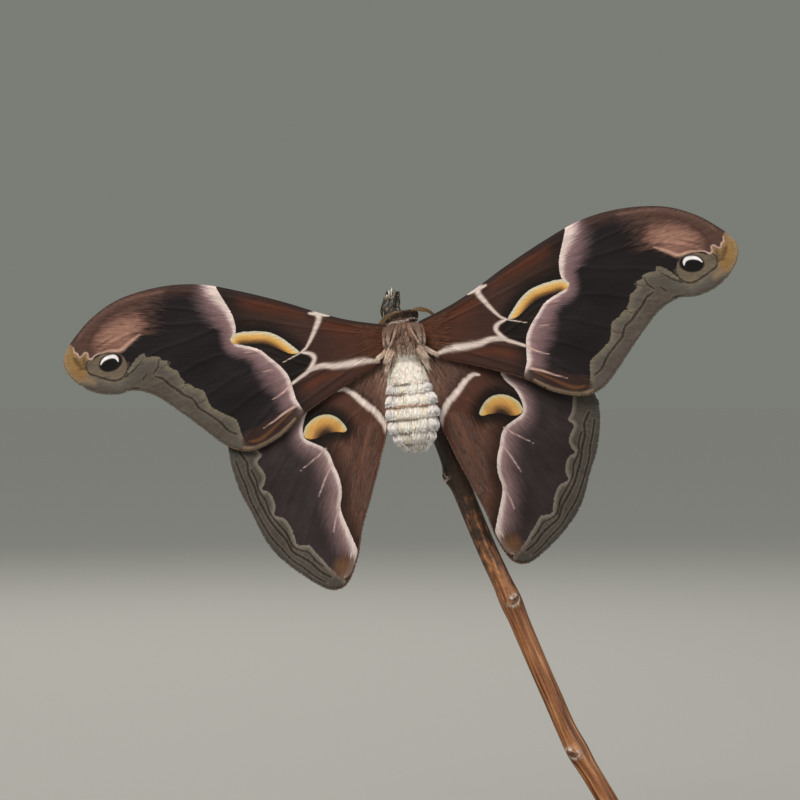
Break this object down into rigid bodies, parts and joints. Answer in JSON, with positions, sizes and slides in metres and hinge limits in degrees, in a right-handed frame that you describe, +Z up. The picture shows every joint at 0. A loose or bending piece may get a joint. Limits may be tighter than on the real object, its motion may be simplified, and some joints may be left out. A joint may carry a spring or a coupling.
{
  "type": "eri silkmoth",
  "caption": "Life-size eri silkmoth, wings spread, gripping a cut length of twig on a small wooden display stand",
  "frame": {"origin": "middle of the underside of the stand's base", "axes": "+Z up; -Y the way the moth's back faces; +X to the moth's right"},
  "size_m": [0.1313, 0.066, 0.1393],
  "materials": {
    "thorax_hair": "long matt brown hair with pale tips",
    "abdomen_wool": "cream-white woolly tufts in rows",
    "head_hair": "short dark brown hair",
    "eye": "glossy black facets",
    "antenna": "brown horn with comb branches",
    "forewing_scales": "powdery scales, maroon-brown with white and lilac bands",
    "hindwing_scales": "powdery scales, maroon-brown with white and lilac bands",
    "leg_scales": "brown scales and hair",
    "twig_bark": "dry orange-brown bark with dark streaks",
    "stand_steel": "satin steel",
    "stand_wood": "dark oiled wood, chamfered edge"
  },
  "bodies": {
    "root": {"thorax": "thorax_hair", "abdomen": "abdomen_wool", "head": "head_hair", "eye_left": "eye", "eye_right": "eye", "antenna_left": "antenna", "antenna_right": "antenna", "forewing_left": "forewing_scales", "forewing_right": "forewing_scales", "hindwing_left": "hindwing_scales", "hindwing_right": "hindwing_scales", "leg_front_left": "leg_scales", "leg_front_right": "leg_scales", "leg_mid_left": "leg_scales", "leg_mid_right": "leg_scales", "leg_hind_left": "leg_scales", "leg_hind_right": "leg_scales", "perch_twig": "twig_bark", "stand_rod": "stand_steel", "stand_base": "stand_wood"}
  },
  "joints": []
}
